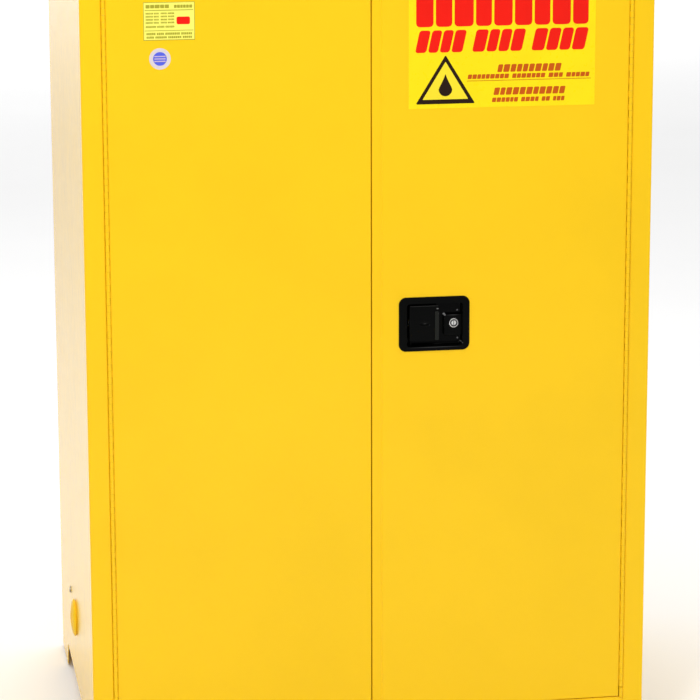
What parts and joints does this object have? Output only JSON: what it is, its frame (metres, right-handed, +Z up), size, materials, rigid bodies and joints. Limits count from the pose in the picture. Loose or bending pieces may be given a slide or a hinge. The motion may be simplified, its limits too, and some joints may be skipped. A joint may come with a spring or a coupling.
{
  "type": "flammable storage cabinet",
  "caption": "Tall yellow double-walled steel safety cabinet with two flush doors, paddle latch, sump, shelves, capped side vents and levelling feet.",
  "frame": {"origin": "on the floor, under the middle of the cabinet's outline", "axes": "+Z up, the doors face -Y, +X to the right seen from the front"},
  "size_m": [1.1126, 0.8678, 1.651],
  "materials": {
    "yellow_enamel": "gloss powder coat, safety yellow",
    "zinc_plate": "bright zinc plate",
    "galvanized_steel": "galvanized, light spangle",
    "black_enamel": "satin black",
    "bright_chrome": "bright chrome",
    "brass": "plain",
    "guide_nylon": "moulded",
    "label_hazard": "printed vinyl",
    "label_data": "printed vinyl",
    "label_round": "printed foil"
  },
  "bodies": {
    "cabinet": {"outer_left_side": "yellow_enamel", "outer_right_side": "yellow_enamel", "outer_back": "yellow_enamel", "outer_top": "yellow_enamel", "top_rail": "yellow_enamel", "bottom_rail": "yellow_enamel", "base_panel": "yellow_enamel", "inner_left_side": "yellow_enamel", "inner_right_side": "yellow_enamel", "inner_back": "yellow_enamel", "inner_top": "yellow_enamel", "sump_pan": "yellow_enamel", "hinge_left_frame_leaf": "yellow_enamel", "hinge_right_frame_leaf": "yellow_enamel", "hinge_pins": "zinc_plate", "shelf_standards": "zinc_plate", "shelf_clips": "zinc_plate", "top_keeper": "zinc_plate", "bottom_keeper": "zinc_plate", "vent_fittings": "yellow_enamel", "vent_screens": "brass", "ground_screw": "zinc_plate", "ground_nut": "zinc_plate", "foot_brackets": "yellow_enamel", "foot_nuts": "zinc_plate"},
    "left_door": {"left_door_skin": "yellow_enamel", "left_door_pan": "yellow_enamel", "hinge_left_door_leaf": "yellow_enamel", "bolt_strike": "zinc_plate", "data_label": "label_data", "round_sticker": "label_round"},
    "right_door": {"right_door_skin": "yellow_enamel", "right_door_pan": "yellow_enamel", "hinge_right_door_leaf": "yellow_enamel", "hazard_label": "label_hazard", "latch_bezel": "black_enamel", "latch_retainer": "zinc_plate", "paddle_pin": "black_enamel", "rod_guides": "guide_nylon", "bolt_guide": "zinc_plate", "hub_pivot": "zinc_plate", "lock_barrel": "bright_chrome", "lock_nut": "zinc_plate", "latch_cover": "yellow_enamel", "cover_screws": "zinc_plate"},
    "paddle": {"paddle": "black_enamel"},
    "lock": {"lock_plug": "bright_chrome", "lock_cam": "zinc_plate"},
    "latch_hub": {"latch_hub": "zinc_plate"},
    "upper_rod": {"upper_rod": "zinc_plate"},
    "lower_rod": {"lower_rod": "zinc_plate"},
    "centre_bolt": {"centre_bolt": "zinc_plate"},
    "lower_shelf": {"lower_shelf": "galvanized_steel"},
    "upper_shelf": {"upper_shelf": "galvanized_steel"},
    "left_vent_cap": {"left_vent_cap": "yellow_enamel"},
    "right_vent_cap": {"right_vent_cap": "yellow_enamel"},
    "foot_front_left": {"foot_front_left": "zinc_plate"},
    "foot_front_right": {"foot_front_right": "zinc_plate"},
    "foot_rear_left": {"foot_rear_left": "zinc_plate"},
    "foot_rear_right": {"foot_rear_right": "zinc_plate"}
  },
  "joints": [
    {"name": "left_door_hinge", "type": "hinge", "parent": "cabinet", "child": "left_door", "pos_m": [-0.502, -0.4303, 0.87], "axis": [0, 0, -1], "range_deg": [0, 165]},
    {"name": "right_door_hinge", "type": "hinge", "parent": "cabinet", "child": "right_door", "pos_m": [0.502, -0.4303, 0.87], "axis": [0, 0, 1], "range_deg": [0, 165]},
    {"name": "paddle_pull", "type": "hinge", "parent": "right_door", "child": "paddle", "pos_m": [0.0775, -0.4197, 0.892], "axis": [0, 0, -1], "range_deg": [0, 30], "stiffness_Nm_per_rad": 0.8, "springref_deg": -17.19},
    {"name": "key_turn", "type": "hinge", "parent": "right_door", "child": "lock", "pos_m": [0.1611, -0.415, 0.8908], "axis": [0, -1, 0], "range_deg": [0, 90]},
    {"name": "hub_turn", "type": "hinge", "parent": "right_door", "child": "latch_hub", "pos_m": [0.1175, -0.4067, 0.864], "axis": [0, 1, 0], "range_deg": [0, 18]},
    {"name": "upper_rod_slide", "type": "slide", "parent": "right_door", "child": "upper_rod", "axis": [0, 0, -1], "range_m": [0, 0.0075]},
    {"name": "lower_rod_slide", "type": "slide", "parent": "right_door", "child": "lower_rod", "axis": [0, 0, 1], "range_m": [0, 0.0075]},
    {"name": "centre_bolt_slide", "type": "slide", "parent": "right_door", "child": "centre_bolt", "axis": [1, 0, 0], "range_m": [0, 0.0088]},
    {"name": "lower_shelf_lift", "type": "slide", "parent": "cabinet", "child": "lower_shelf", "axis": [0, 0, 1], "range_m": [0, 0.03]},
    {"name": "upper_shelf_lift", "type": "slide", "parent": "cabinet", "child": "upper_shelf", "axis": [0, 0, 1], "range_m": [0, 0.03]},
    {"name": "left_vent_cap_out", "type": "slide", "parent": "cabinet", "child": "left_vent_cap", "axis": [-1, 0, 0], "range_m": [0, 0.05]},
    {"name": "right_vent_cap_out", "type": "slide", "parent": "cabinet", "child": "right_vent_cap", "axis": [1, 0, 0], "range_m": [0, 0.05]},
    {"name": "foot_front_left_turn", "type": "hinge", "parent": "cabinet", "child": "foot_front_left", "pos_m": [-0.5261, -0.3997, 0.02], "axis": [0, 0, 1], "continuous": true},
    {"name": "foot_front_right_turn", "type": "hinge", "parent": "cabinet", "child": "foot_front_right", "pos_m": [0.5261, -0.3997, 0.02], "axis": [0, 0, 1], "continuous": true},
    {"name": "foot_rear_left_turn", "type": "hinge", "parent": "cabinet", "child": "foot_rear_left", "pos_m": [-0.5261, 0.4039, 0.02], "axis": [0, 0, 1], "continuous": true},
    {"name": "foot_rear_right_turn", "type": "hinge", "parent": "cabinet", "child": "foot_rear_right", "pos_m": [0.5261, 0.4039, 0.02], "axis": [0, 0, 1], "continuous": true}
  ],
  "couplings": [
    {"joint": "hub_turn", "follows": "paddle_pull", "ratio": 0.5892},
    {"joint": "upper_rod_slide", "follows": "paddle_pull", "m_per_rad": 0.013915},
    {"joint": "lower_rod_slide", "follows": "paddle_pull", "m_per_rad": 0.013915},
    {"joint": "centre_bolt_slide", "follows": "paddle_pull", "m_per_rad": 0.016234}
  ]
}
